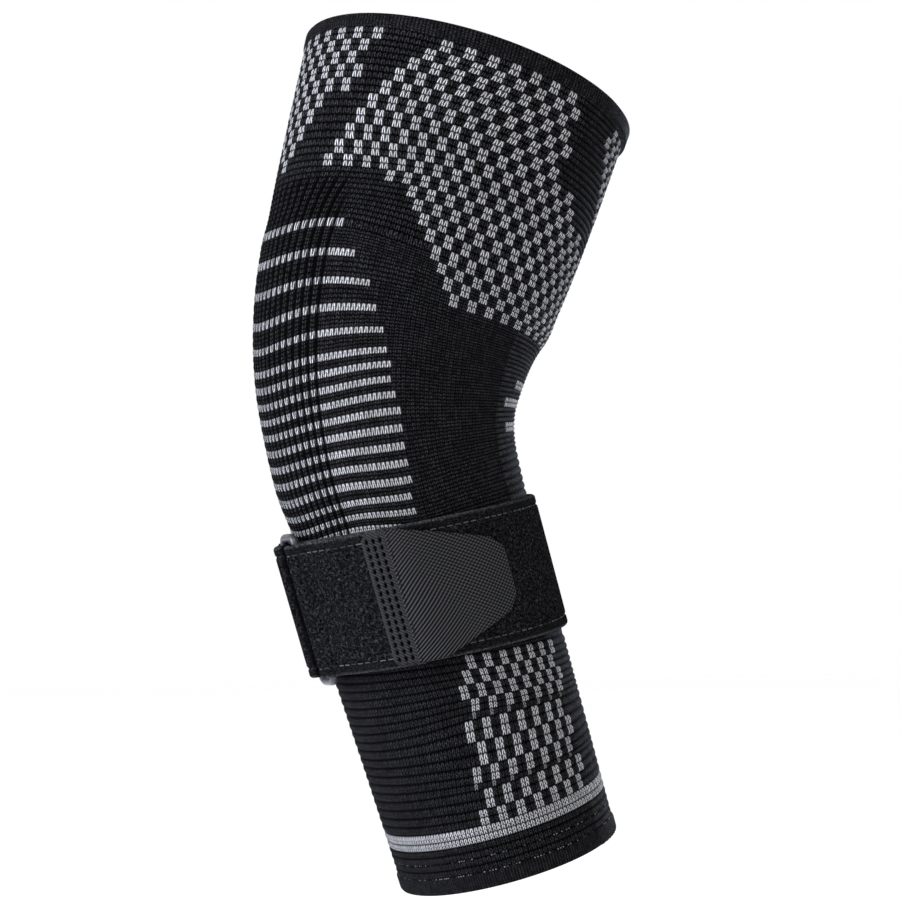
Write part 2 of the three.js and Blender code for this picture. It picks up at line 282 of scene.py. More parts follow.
class Paint:
    """One material and the nodes that make it.

    A Mix node's colour sockets go by number, because each kind of data has sockets of the same name.
    """

    MIX_LOW, MIX_HIGH, MIX_RESULT = 6, 7, 2
    # Near black used as painted shade in holes and grooves.
    RECESS_SHADE = (0.002, 0.002, 0.002, 1.0)

    def __init__(self, name: str) -> None:
        """Starts a material that holds one Principled shader and its output."""
        self.material = bpy.data.materials.new(name)
        self.material.use_nodes = True
        self.tree = self.material.node_tree
        self.tree.nodes.clear()
        self.shader = self.node("ShaderNodeBsdfPrincipled", {}, {})
        end = self.node("ShaderNodeOutputMaterial", {}, {})
        self.tree.links.new(self.shader.outputs["BSDF"], end.inputs["Surface"])

    def node(self, kind: str, settings: dict, inputs: dict) -> bpy.types.Node:
        """Adds one node.

        Args:
            kind: The node's type.
            settings: Its properties, which are set first.
            inputs: Values or wires for its sockets, by name or number.
        Returns:
            The node.
        """
        made = self.tree.nodes.new(kind)
        for key, value in settings.items():
            setattr(made, key, value)
        for key, value in inputs.items():
            self.feed(made.inputs[key], value)
        return made

    def feed(self, socket: bpy.types.NodeSocket, value: object) -> None:
        """Links a wire to a socket, or sets the socket's own value."""
        if isinstance(value, Wire):
            value = value.socket
        if isinstance(value, bpy.types.NodeSocket):
            self.tree.links.new(value, socket)
        else:
            socket.default_value = value

    def output(self, kind: str, name: str, settings: dict, inputs: dict) -> Wire:
        """Adds one node and gives one of its outputs."""
        return Wire(self, self.node(kind, settings, inputs).outputs[name])

    def math(self, operation: str, *values: Wire | float) -> Wire:
        """Adds one Math node."""
        return self.output("ShaderNodeMath", "Value", {"operation": operation}, dict(enumerate(values)))

    def place(self, map_name: str) -> tuple[Wire, Wire, bpy.types.NodeSocket]:
        """Both numbers of a UV map, and the map itself."""
        uv = self.node("ShaderNodeUVMap", {"uv_map": map_name}, {}).outputs["UV"]
        split = self.node("ShaderNodeSeparateXYZ", {}, {"Vector": uv})
        return Wire(self, split.outputs["X"]), Wire(self, split.outputs["Y"]), uv

    def mark(self, name: str) -> Wire:
        """One of the mesh's own numbers."""
        return self.output("ShaderNodeAttribute", "Fac", {"attribute_name": name}, {})

    def vector(self, x: Wire | float, y: Wire | float, z: Wire | float = 0.0) -> bpy.types.NodeSocket:
        """A vector of three numbers."""
        return self.node("ShaderNodeCombineXYZ", {}, {"X": x, "Y": y, "Z": z}).outputs["Vector"]

    def spot(self, where: bpy.types.NodeSocket) -> Wire:
        """A random number that is the same all over one place."""
        return self.output("ShaderNodeTexWhiteNoise", "Value", {"noise_dimensions": "3D"}, {"Vector": where})

    def cloud(self, where: bpy.types.NodeSocket, scale: float, detail: float = 2, rough: float = 0.5) -> Wire:
        """Smooth noise from 0 to 1."""
        inputs = {"Vector": where, "Scale": scale, "Detail": detail, "Roughness": rough}
        return self.output("ShaderNodeTexNoise", "Fac", {"noise_dimensions": "3D"}, inputs)

    def blend(self, share: Wire | float, low: object, high: object) -> bpy.types.NodeSocket:
        """A colour that is low at share 0 and high at share 1."""
        mix = self.node("ShaderNodeMix", {"data_type": "RGBA"}, {"Factor": share})
        self.feed(mix.inputs[self.MIX_LOW], low)
        self.feed(mix.inputs[self.MIX_HIGH], high)
        return mix.outputs[self.MIX_RESULT]

    def shade(self, colour: object, share: Wire) -> bpy.types.NodeSocket:
        """A colour times a share, so that 0 is black."""
        return self.blend(share, (0.0, 0.0, 0.0, 1.0), colour)

    def relief(self, height: Wire, depth_mm: float, strength: float = 1.0) -> None:
        """Bumps the surface by a height from 0 to 1 that is depth_mm deep."""
        inputs = {"Strength": strength, "Distance": depth_mm * MM, "Height": height}
        bump = self.node("ShaderNodeBump", {}, inputs)
        self.feed(self.shader.inputs["Normal"], bump.outputs["Normal"])

    def coat(self, **sockets: object) -> None:
        """Sets or links sockets of the shader, with underscores for the spaces in their names."""
        for key, value in sockets.items():
            self.feed(self.shader.inputs[key.replace("_", " ")], value)


@dataclass(frozen=True)
class KnitFinish:
    """Elastic knit: rows of stitches whose two legs meet at the top, in black or light grey yarn.

    Widths are shares of a wale across and of a ridge or stitch row down, and rates are counts for each.
    """

    black: tuple = (0.032, 0.032, 0.036, 1.0)
    grey: tuple = (0.36, 0.36, 0.374, 1.0)
    leg_top: float = 0.10
    leg_spread: float = 0.21
    leg_half_width: float = 0.155
    leg_core: float = 0.05
    lean: float = 0.10
    rim_rib_rate: float = 1.6
    rim_row_rate: float = 3.0
    fine_rate: float = 2.0
    zone_change: float = 0.02
    rim_change: float = 0.12
    valley_width: float = 0.15
    soft_valley_width: float = 0.38
    fine_valley_width: float = 0.35
    groove_edge: float = 0.34
    groove_core: float = 0.12
    crook_yarn: float = 0.85
    thread_rate: float = 1.5
    thread_half_width: float = 0.10
    thread_core: float = 0.03
    # Least share of the yarn's colour left where shade is painted into valleys and grooves.
    valley_shade_floor: float = 0.03
    depth_mm: float = 0.5

    def make(self) -> bpy.types.Material:
        """Builds the material.

        The map `stitches` counts wales and stitch rows. The map `ridges` counts ridges, and gives the share
        of upright ribs or, as a negative share, of the crook's smooth ridges. The mark `light` is 1 on
        light stitches. Valleys lie between ridges, grooves between upright ribs. Shade is painted into the
        yarn's colour in the valleys and grooves.
        """
        paint = Paint("sleeve_knit")
        wale, row, uv = paint.place("stitches")
        ridge, ribs, _ = paint.place("ridges")
        rib, crook = ribs.at_least(0.0), (ribs * -1.0).at_least(0.0)
        light = paint.mark("light")
        own = paint.spot(paint.vector(wale.floor(), row.floor()))
        rims, fine = self.rims(ridge), self.fine(ridge) * (1 - crook)
        a = wale.fraction() - 0.5 + (own - 0.5) * self.lean
        stitch = self.legs(a, row.fraction())
        upright = (wale * self.rim_rib_rate).fraction().near(0.5, 0.5, 0.1)
        yarn = stitch.towards(upright * (row * self.rim_row_rate).fraction().near(0.5, 0.65, 0.2), rims)
        black_yarn = yarn.towards(self.legs(a, (row * self.fine_rate).fraction()), fine)
        least = 0.12 + fine * 0.08
        black_yarn = (least + black_yarn * (1 - least)).at_least(crook * self.crook_yarn)
        edge = ridge.fraction().to_edge()
        valley = edge.step(0.0, self.valley_width).between(0.15, 1.0).at_least(rims)
        soft_valley = (edge + stitch * 0.12 - 0.03).step(0.0, self.soft_valley_width).at_least(rims)
        fine_edge = (ridge * self.fine_rate).fraction().to_edge()
        fine_valley = fine_edge.step(0.0, self.fine_valley_width).between(0.1, 1.0)
        black_valley = soft_valley.towards(fine_valley, fine)
        groove = 1 - rib * (wale * 0.5).fraction().to_edge().step(self.groove_edge, self.groove_core)
        fibres = paint.cloud(uv, 9.0, 3.0, 0.7)
        fuzz = paint.cloud(uv, 4.0, 3.0, 0.8)
        # Painted shade: the colour darkens towards the valleys between ridges and the grooves between ribs.
        deep = valley.between(self.valley_shade_floor, 1.0) * groove.between(self.valley_shade_floor, 1.0)
        black_valley_shade = black_valley.between(self.valley_shade_floor, 1.0) * groove.between(self.valley_shade_floor, 1.0)
        grey_share = yarn.between(0.07, 1.0) * deep * own.between(0.75, 1.05) * fibres.between(0.7, 1.2)
        grey_share = grey_share * fuzz.step(0.25, 0.75).between(0.6, 1.25)
        black_share = black_yarn * black_valley_shade * own.between(0.6, 1.2) * (1 - 0.35 * rims)
        black_share = black_share * fibres.between(0.3, 1.7) * fuzz.step(0.38, 0.66).between(0.0, 1.1)
        thread = self.thread(paint, wale, ridge)
        colour = paint.blend(
            (light + thread).at_most(1.0),
            paint.shade(self.black, black_share),
            paint.shade(self.grey, grey_share.at_least(thread)),
        )
        paint.coat(Base_Color=colour, Roughness=0.82, Specular_IOR_Level=0.01)
        paint.relief((black_yarn * 0.55 + black_valley * 0.45) * groove, self.depth_mm)
        return paint.material

    def rims(self, ridge: Wire) -> Wire:
        """1 on the ribbed rims, above the first ridge and below the hem's top, and 0 in the lining."""
        low = ridge.step(Chart.HEM_TOP, Chart.HEM_TOP + self.rim_change)
        return (ridge.step(0.08, -0.08) + low) * ridge.step(Chart.CUFF_RIM + 0.6, Chart.CUFF_RIM + 0.4)

    def fine(self, ridge: Wire) -> Wire:
        """1 on the finer black knit between the first fine ridge and the first ridge below the strap."""
        start = ridge.step(Chart.FIRST_FINE_RIDGE, Chart.FIRST_FINE_RIDGE + self.zone_change)
        end = ridge.step(Chart.FIRST_LOW_RIDGE, Chart.FIRST_LOW_RIDGE + self.zone_change)
        return start * (1 - end)

    def legs(self, a: Wire, b: Wire) -> Wire:
        """Share of yarn in a stitch at its place across, a from -0.5 to 0.5, and up, b from 0 to 1.

        A leg lies where the distance to the middle line is leg_top + leg_spread * (1 - b).
        """
        from_leg = abs(abs(a) - (self.leg_top + self.leg_spread * (1 - b)))
        return from_leg.step(self.leg_half_width, self.leg_core) * b.near(0.5, 0.5, 0.33).between(0.5, 1.0)

    def thread(self, paint: Paint, wale: Wire, ridge: Wire) -> Wire:
        """Thin dotted threads in the two valleys above the hem, some dots nearly hidden."""
        count = wale * self.thread_rate
        upper, lower = (
            ridge.near(line, self.thread_half_width, self.thread_core)
            for line in (Chart.UPPER_THREAD, Chart.LOWER_THREAD)
        )
        own = paint.spot(paint.vector(count.floor(), (ridge + 0.5).floor()))
        dots = count.fraction().near(0.5, 0.35, 0.15)
        return (upper + lower) * dots * own.step(0.2, 1.0).between(0.0, 0.7)


@dataclass(frozen=True)
class PileFinish:
    """Loop pile with grey fibre ends, and a smooth bound edge with a line of dashes.

    Places across are millimetres from the strap's middle line.
    """

    fibre: tuple = (0.025, 0.025, 0.0285, 1.0)
    hair: tuple = (0.1, 0.1, 0.105, 1.0)
    # Colour of the bound edge; its outermost part is brightened towards it as a painted highlight.
    edge: tuple = (0.04, 0.04, 0.043, 1.0)
    thread: tuple = (0.085, 0.085, 0.085, 1.0)
    fold_shade: tuple = (0.001, 0.001, 0.001, 1.0)
    pile_end: float = 17.3
    pile_full: float = 16.6
    seam_line: float = 17.0
    turned_edge: float = 18.9
    outer_edge: float = 19.7
    dash_pitch: float = 2.6
    depth_mm: float = 0.5

    def make(self) -> bpy.types.Material:
        """Builds the material.

        The map `band` holds millimetres along and across the strap, and `folds` the share by which the
        strap stands on edge round a bar, where shade is painted on it.
        """
        paint = Paint("strap_pile")
        along, across, uv = paint.place("band")
        fold, _, _ = paint.place("folds")
        inside = abs(across).step(self.pile_end, self.pile_full)
        warp = paint.node("ShaderNodeTexNoise", {}, {"Vector": uv, "Scale": 0.9, "Detail": 2.0})
        inputs = {0: warp.outputs["Color"], 1: (2.4, 2.4, 0), 2: uv}
        bent = paint.node("ShaderNodeVectorMath", {"operation": "MULTIPLY_ADD"}, inputs).outputs[0]
        long_hairs = paint.cloud(bent, 1.5, 2.0, 0.6).near(0.5, 0.035, 0.0)
        short_hairs = paint.cloud(bent, 2.9, 2.0, 0.6).near(0.5, 0.05, 0.0)
        clumps = paint.cloud(uv, 1.3, 3.0, 0.7)
        fuzz = (long_hairs * 0.8).at_least(short_hairs * clumps.step(0.35, 0.65))
        tufts = paint.cloud(bent, 1.35, 3.0, 0.7).step(0.42, 0.66)
        pile = paint.shade(self.fibre, (tufts * tufts).between(0.04, 1.0) * clumps.between(0.6, 1.3))
        pile = paint.blend(long_hairs * clumps.between(0.0, 0.3), pile, self.hair)
        nap = paint.cloud(bent, 2.0, 3.0, 0.7).step(0.4, 0.64)
        # Painted highlight: the outermost part of the bound edge is painted lighter, broken up by the nap.
        edge_highlight = abs(across).step(self.turned_edge, self.outer_edge)
        rim = paint.shade(self.edge, nap.between(0.03, 0.3) * edge_highlight.between(1.0, 4.5))
        line = abs(across).near(self.seam_line, 0.22, 0.08)
        stitch = along * (1 / self.dash_pitch)
        dash = stitch.fraction().near(0.5, 0.40, 0.30)
        loose = paint.spot(paint.vector(stitch.floor(), across.step(-1.0, 1.0).floor())).between(0.15, 1.0)
        colour = paint.blend(inside, rim, pile)
        # Painted shade: the seam's groove is painted near black, with the thread's dashes over it.
        colour = paint.blend(line * 0.85, colour, paint.RECESS_SHADE)
        colour = paint.blend(line * dash * loose, colour, self.thread)
        # Painted shade where the strap stands on edge round the ring's bars.
        colour = paint.blend(fold * 0.92, colour, self.fold_shade)
        paint.coat(Base_Color=colour, Roughness=0.9, Specular_IOR_Level=0.0)
        height = fuzz * inside * 0.8 + (1 - inside) * nap * 0.5 + line * dash * 0.3 - line * 0.4
        paint.relief(height, self.depth_mm)
        return paint.material


@dataclass(frozen=True)
class LacquerFinish:
    """Dark glossy lacquer on the wire ring, with faint unevenness."""

    colour: tuple = (0.02, 0.0205, 0.022, 1.0)

    def make(self) -> bpy.types.Material:
        """Builds the material on Object coordinates."""
        paint = Paint("ring_lacquer")
        where = paint.node("ShaderNodeTexCoord", {}, {}).outputs["Object"]
        uneven = paint.cloud(where, 700.0, 3.0, 0.6)
        colour = paint.shade(self.colour, uneven.between(0.8, 1.15))
        paint.coat(Base_Color=colour, Roughness=uneven.between(0.3, 0.42), Specular_IOR_Level=0.25)
        paint.relief(uneven, 0.03, 0.5)
        return paint.material


@dataclass(frozen=True)
class TabFinish:
    """Dark satin plastic with embossed slanted lines and a sewn strip. Lengths in millimetres."""

    colour: tuple = (0.0395, 0.0395, 0.0415, 1.0)
    thread: tuple = (0.03, 0.03, 0.032, 1.0)
    line_pitch: float = 0.95
    slant: tuple = (0.74, -0.66)
    cross_slant: tuple = (0.52, 0.85)
    curl: float = 0.008
    crossing: tuple = (12.0, 27.0)
    prick_line: float = 7.7
    prick_rate: float = 0.7
    depth_mm: float = 0.22

    def make(self) -> bpy.types.Material:
        """Builds the material.

        The map `tab` holds millimetres along and across the tab, and `emboss` the share of a stitch hole,
        where shade is painted, and of the sewn strip. The lines are waves across two slants, painted
        lighter on their crests and darker in their troughs. The second lines fade in over the crossing's
        stretch towards the tip.
        """
        paint = Paint("tab_plastic")
        x, y, uv = paint.place("tab")
        # The first number of `emboss` marks the stitch holes, where shade is painted.
        hole_shade, sewn, _ = paint.place("emboss")
        grain = paint.cloud(uv, 5.0, 3.0, 0.7)
        turn = 2 * math.pi / self.line_pitch
        (right, up), (cross_right, cross_up) = self.slant, self.cross_slant
        first = ((right * x + up * y - self.curl * y * abs(y)) * turn).wave()
        second = ((cross_right * x + cross_up * y) * turn).wave()
        tip = (x + 0.45 * y).step(*self.crossing)
        lines = (first * (1 - 0.3 * tip) + second * 0.75 * tip) * (1 - 0.3 * tip)
        lines = lines * (1 - sewn) + sewn * grain
        # Painted light and shade: the colour follows the embossed lines, lighter on their crests and darker
        # in their troughs, and darkest in the stitch holes.
        tone = (lines * lines).between(0.04, 0.85) * grain.between(0.8, 1.2) * hole_shade.between(1.0, 0.05)
        skin = paint.shade(self.colour, tone)
        pricks = x.near(self.prick_line, 0.32, 0.12) * (y * self.prick_rate).fraction().near(0.5, 0.32, 0.16)
        # Painted shade in the needle pricks beside the sewn strip.
        skin = paint.blend(pricks * 0.8, skin, paint.RECESS_SHADE)
        twist = ((y * 2.1 + x * 1.7) * math.pi).wave()
        # The sewn strip's thread is painted dark in its stitch holes as painted shade.
        tone = twist.between(0.2, 0.8) * grain.between(0.6, 1.3) * hole_shade.between(1.0, 0.04)
        colour = paint.blend(sewn, skin, paint.shade(self.thread, tone))
        paint.coat(Base_Color=colour, Roughness=grain.between(0.55, 0.75), Specular_IOR_Level=0.01)
        paint.relief(lines * 0.8 + grain * 0.2, self.depth_mm)
        return paint.material


class Section(NamedTuple):
    """One section of the arm: its place as a share of the upper arm or forearm, and how far its half
    depths to the back and to the front have come from the elbow's radius to the end's."""

    along: float
    back: float
    front: float


@dataclass
class Arm:
    """The arm inside the brace, as part.mjs has it. Lengths in millimetres, angles in degrees.

    Places on it are given as `along`, the distance from the elbow, `turn`, the angle round the arm
    (0 at the back, 90 at the outer side and 180 in the crook), and `lift`, the height above the knit.
    """

    upper_length: float = 96.5
    forearm_length: float = 145.5
    upper_tilt: float = 17.6
    forearm_tilt: float = 17.1
    bend_radius: float = 90.0
    top_radius: float = 50.5
    elbow_radius: float = 39.2
    cuff_radius: float = 33.0
    pad_relief: float = 0.8
    pad_top: float = 40.0
    pad_bottom: float = -34.0
    pad_half_turn: float = 70.0
    pad_level_half_turn: float = 42.0
    pad_fade: float = 12.0
    sections: tuple = (
        Section(-1.0, 1.0, 1.0),
        Section(-0.75, 0.77, 0.95),
        Section(-0.5, 0.52, 0.9),
        Section(-0.25, 0.5, 0.8),
        Section(-0.1, 0.33, 0.5),
        Section(0.0, 0.0, 0.0),
        Section(0.15, 0.2, 0.25),
        Section(0.35, 0.49, 0.58),
        Section(0.65, 0.76, 0.83),
        Section(1.0, 1.0, 1.0),
    )

    def half_depths(self, along: np.ndarray) -> tuple[np.ndarray, np.ndarray]:
        """Half depths of the sleeve's outer face towards the back and towards the crook.

        Each section's depth is elbow_radius + share * (end radius - elbow_radius), and a smooth
        curve runs through the sections.
        """
        table = np.array(self.sections)
        above = table[:, 0] >= 0
        length = np.where(above, self.upper_length, self.forearm_length)
        growth = np.where(above, self.top_radius, self.cuff_radius) - self.elbow_radius
        depths = self.elbow_radius + table[:, 1:] * growth[:, None]
        both = curve_weights(np.ravel(along), table[:, 0] * length) @ depths
        shape = np.shape(along)
        return both[:, 0].reshape(shape), both[:, 1].reshape(shape)

    def axis(self, along: np.ndarray) -> tuple[np.ndarray, np.ndarray, np.ndarray]:
        """The arm's axis: straight, then an arc round the elbow, then straight; x, z and its lean."""
        upper, lower = math.radians(self.upper_tilt), math.radians(self.forearm_tilt)
        middle = (upper - lower) / 2
        half_arc = self.bend_radius * (upper + lower) / 2
        on_arc = np.clip(along, -half_arc, half_arc)
        lean = middle + on_arc / self.bend_radius
        beyond = along - on_arc
        x = self.bend_radius * (math.cos(middle) - np.cos(lean)) + beyond * np.sin(lean)
        z = self.bend_radius * (np.sin(lean) - math.sin(middle)) + beyond * np.cos(lean)
        return x, z, lean

    def pad(self, along: np.ndarray, turn: np.ndarray) -> np.ndarray:
        """Height of the padded back: pad_relief faded out at its sides, top and bottom."""
        from_back = np.abs((turn + 180.0) % 360.0 - 180.0)
        across = 1 - smooth(from_back, self.pad_level_half_turn, self.pad_half_turn)
        below_top = 1 - smooth(along, self.pad_top - self.pad_fade, self.pad_top)
        above_bottom = smooth(along, self.pad_bottom, self.pad_bottom + self.pad_fade)
        return self.pad_relief * across * below_top * above_bottom

    def point(self, along: np.ndarray, turn: np.ndarray, lift: np.ndarray | float) -> np.ndarray:
        """Points over the sleeve: half ellipses of depth (half depth + lift) * cos(turn) and width
        (mean half depth + lift) * sin(turn), across the arm's axis."""
        along, turn, lift = np.broadcast_arrays(along, turn, lift)
        back, front = self.half_depths(along)
        x, z, lean = self.axis(along)
        cos_turn, sin_turn = np.cos(np.radians(turn)), np.sin(np.radians(turn))
        depth = (np.where(cos_turn > 0, back, front) + lift) * cos_turn
        width = ((back + front) / 2 + lift) * sin_turn
        return np.stack([x - np.cos(lean) * depth, -width, z + np.sin(lean) * depth], -1)


class Course(NamedTuple):
    """One ridge: its distance from the elbow in millimetres at each of the chart's course_turns."""

    ridge: float
    back: float
    rib_edge: float
    pad_edge: float
    side: float
    crook: float


class Drift(NamedTuple):
    """One ridge: how far its wales lie from an even lattice, in degrees, at each of the drift_turns."""

    ridge: float
    at_30: float
    at_45: float
    at_70: float
    at_95: float
    at_120: float
    at_145: float


@dataclass
class Chart:
    """The knit's chart: where each ridge and wale lies, and which stitches are light.

    Ridges count down from the top welt, wales count round the arm from the middle of the back. In a
    stripe's row the value is the turn where it ends, in a dash's row the turn where it starts. A border
    gives the turn of a zone's edge at a ridge, or for side_end and front_start at a distance along. The
    pairs of the ribs and the crook are the ridges or turns where each fades in or out.
    """

    UPPER_THREAD = 108.0
    LOWER_THREAD = 110.0
    WALE_TURN = 2.0
    LATTICE_START = -0.1
    TOP_RIM = -2.4
    CUFF_RIM = 112.2
    LAST_UPPER_RIDGE = 69
    FIRST_LOW_RIDGE = 84
    FIRST_FINE_RIDGE = 31
    UPPER_CHECK_END = 38
    LOW_CHECK_END = 104
    PLAIN_RIDGES = (92, 99)
    PLAIN_LIGHT = 0.4
    BAND_RIDGES = (104, 105)
    HEM_TOP = 110
    SIDE_BOTTOM = 19.3
    RIBS_START, RIBS_END, RIBS_EDGE = (20.0, 23.0), (69.0, 72.0), (36.0, 40.5)
    CROOK_START, CROOK_EDGE = (30.0, 34.0), (121.0, 124.0)

    courses: tuple = (
        Course(-2.4, 96.5, 96.5, 96.5, 96.5, 96.5),
        Course(0.0, 92.4, 92.2, 91.0, 91.0, 91.0),
        Course(6.0, 81.1, 81.0, 80.4, 80.2, 80.2),
        Course(12.0, 68.1, 68.0, 68.3, 68.6, 68.8),
        Course(18.0, 54.0, 54.2, 56.2, 57.1, 57.6),
        Course(24.0, 42.4, 44.3, 45.2, 45.5, 47.4),
        Course(30.0, 32.2, 35.5, 34.4, 33.6, 36.8),
        Course(31.0, 29.3, 32.7, 31.7, 31.3, 34.8),
        Course(34.0, 24.4, 26.9, 27.3, 26.5, 29.5),
        Course(35.0, 22.5, 25.1, 25.7, 24.7, 27.7),
        Course(37.0, 18.2, 20.9, 21.6, 21.2, 23.5),
        Course(38.0, 16.3, 19.2, 20.0, 19.4, 21.6),
        Course(40.5, 11.1, 14.3, 15.6, 15.0, 16.4),
        Course(43.5, 6.0, 9.0, 10.8, 10.0, 10.6),
        Course(46.5, 1.5, 4.0, 6.2, 5.3, 5.0),
        Course(50.5, -5.2, -3.0, -0.8, -2.0, -3.0),
        Course(54.5, -11.5, -9.8, -8.6, -9.5, -11.0),
        Course(58.5, -18.3, -17.0, -17.4, -17.6, -19.0),
        Course(62.5, -25.5, -24.2, -26.0, -26.0, -27.5),
        Course(66.5, -34.0, -32.3, -35.0, -35.0, -36.5),
        Course(69.0, -38.6, -37.2, -40.4, -40.6, -42.6),
        Course(76.0, -57.0, -57.4, -59.5, -60.5, -64.0),
        Course(84.0, -74.5, -76.0, -78.1, -80.5, -85.5),
        Course(88.0, -85.0, -85.5, -86.7, -89.0, -93.5),
        Course(90.0, -90.2, -90.5, -91.0, -93.0, -97.2),
        Course(92.0, -95.5, -95.2, -94.8, -96.6, -100.6),
        Course(93.0, -98.1, -97.7, -97.0, -98.5, -102.3),
        Course(95.0, -103.4, -103.4, -103.5, -104.6, -106.8),
        Course(97.0, -108.6, -109.2, -110.6, -111.0, -111.7),
        Course(99.0, -113.9, -114.3, -115.4, -115.8, -115.9),
        Course(100.0, -116.5, -116.6, -117.2, -117.3, -117.5),
        Course(102.0, -121.7, -122.1, -123.0, -122.8, -122.4),
        Course(104.0, -127.0, -127.1, -127.4, -127.3, -127.0),
        Course(105.0, -129.8, -129.8, -129.8, -129.8, -129.8),
        Course(106.0, -131.9, -131.9, -131.9, -131.9, -131.9),
        Course(110.0, -140.5, -140.5, -140.5, -140.5, -140.5),
        Course(112.2, -145.5, -145.5, -145.5, -145.5, -145.5),
    )
    course_turns: tuple = (0.0, 40.0, 70.0, 95.0, 180.0)

    drifts: tuple = (
        Drift(-2.4, 0.6, 1.5, 2.3, 1.4, 0.8, 0.5),
        Drift(1.0, 0.6, 1.5, 2.3, 1.4, 0.8, 0.5),
        Drift(5.0, 0.3, 0.9, 0.4, 0.2, 0.0, 0.0),
        Drift(9.0, 0.8, 1.3, -1.8, -2.0, -1.5, -1.0),
        Drift(13.0, 2.4, 1.2, -2.9, -4.2, -3.9, -3.0),
        Drift(17.0, 4.7, 2.7, -1.8, -4.7, -5.2, -3.2),
        Drift(19.0, 5.8, 4.0, -1.3, -4.3, -5.4, -3.2),
        Drift(21.0, 5.8, 4.2, -1.1, -4.0, -5.2, -3.2),
        Drift(27.0, 1.5, 1.2, -0.9, -3.9, -3.9, -2.6),
        Drift(33.0, 0.0, 0.0, -0.4, -2.6, -2.0, -1.6),
        Drift(37.0, 0.0, 0.0, -0.2, -1.4, -0.8, -0.6),
        Drift(45.0, 0.0, 0.0, 0.0, 0.0, 0.0, 0.0),
        Drift(68.0, 0.0, 0.0, 0.0, 0.0, 0.0, 0.0),
        Drift(84.0, -1.0, 0.0, 1.2, 1.8, 2.6, 2.4),
        Drift(89.0, 1.0, 2.0, 3.0, 2.8, 3.8, 3.6),
        Drift(91.0, 0.7, 1.5, 2.2, 3.6, 5.2, 4.8),
        Drift(96.0, -2.0, -2.0, -0.7, 2.0, 4.6, 4.6),
        Drift(101.0, -3.5, -5.2, -3.5, 0.9, 4.8, 5.2),
        Drift(104.0, -4.2, -6.3, -4.2, 1.1, 5.6, 6.1),
        Drift(112.2, -4.2, -6.3, -4.2, 1.1, 5.6, 6.1),
    )
    drift_turns: tuple = (0.0, 30.0, 45.0, 70.0, 95.0, 120.0, 145.0, 180.0)

    stripes: tuple = (
        At(30, 40.0), At(34, 48.6), At(37, 55.3), At(40, 60.0), At(43, 64.0), At(46, 65.0), At(48, 67.0),
        At(50, 68.0), At(52, 70.0), At(54, 71.0), At(56, 71.5), At(58, 72.0), At(60, 72.0), At(62, 72.0),
        At(64, 70.0), At(66, 70.0), At(68, 62.0),
    )
    crook_dashes: tuple = (At(48, 139.0), At(52, 131.0), At(57, 132.0))

    back_end: tuple = (
        At(1, 37), At(3, 33), At(5, 29.5), At(7, 31), At(9, 27), At(11, 23), At(13, 19), At(15, 15),
        At(17, 11), At(19, 6), At(21, -9),
    )
    side_start: tuple = (
        At(1, 56), At(3, 51), At(5, 47), At(7, 43), At(9, 38.5), At(11, 35), At(13, 32), At(15, 29),
        At(17, 26), At(19, 21), At(21, 53), At(23, 58), At(25, 62), At(27, 66), At(29, 70), At(31, 74),
        At(33, 78), At(35, 82), At(37, 86),
    )
    side_end: tuple = (
        At(47, 181), At(50, 165), At(55, 145), At(58, 131), At(63, 127), At(66, 114), At(91, 111),
    )
    front_start: tuple = (
        At(48, 181), At(52, 172), At(60, 158), At(67, 145), At(70, 142), At(75, 139), At(80, 136),
        At(86, 133), At(91, 131),
    )
    low_start: tuple = (
        At(85, 72), At(87, 69), At(89, 66), At(91, 69), At(94, 63), At(96, 66), At(98, 60), At(101, 62),
        At(103, 57),
    )
    low_end: tuple = (At(91, 128), At(94, 127), At(96, 127), At(98, 126), At(101, 125), At(103, 124))

    def along(self, ridge: np.ndarray, turn: np.ndarray) -> np.ndarray:
        """Distance along the arm of each ridge place at each turn, both as one grid.

        A smooth surface through the courses' table, the same on both sides of the arm.

        Args:
            ridge: One number for each row.
            turn: Angles, an array of rows by columns.
        Returns:
            Millimetres from the elbow, rows by columns.
        """
        table = np.array(self.courses)
        down = curve_weights(ridge, table[:, 0]) @ table[:, 1:]
        down = np.concatenate([down[:, 1:2], down, down[:, 3:4]], 1)
        mirrored = np.array([-self.course_turns[1], *self.course_turns, 360.0 - self.course_turns[3]])
        round_arm = curve_weights(np.abs(turn).ravel(), mirrored).reshape(*turn.shape, -1)
        return np.einsum("rk,rck->rc", down, round_arm)

    def turn(self, ridge: np.ndarray, wale: np.ndarray) -> np.ndarray:
        """Angle round the arm of each wale place on each ridge place: an even lattice plus its drift.

        Args:
            ridge: One number for each row.
            wale: One number for each column.
        Returns:
            Degrees, rows by columns.
        """
        even = self.LATTICE_START * np.cos(np.radians(wale * self.WALE_TURN)) + wale * self.WALE_TURN
        table = np.array(self.drifts)
        down = curve_weights(ridge, table[:, 0]) @ np.pad(table[:, 1:], ((0, 0), (1, 1)))
        round_arm = curve_weights(np.abs(even), np.array(self.drift_turns))
        return even[None, :] + np.sign(even)[None, :] * (down @ round_arm.T)

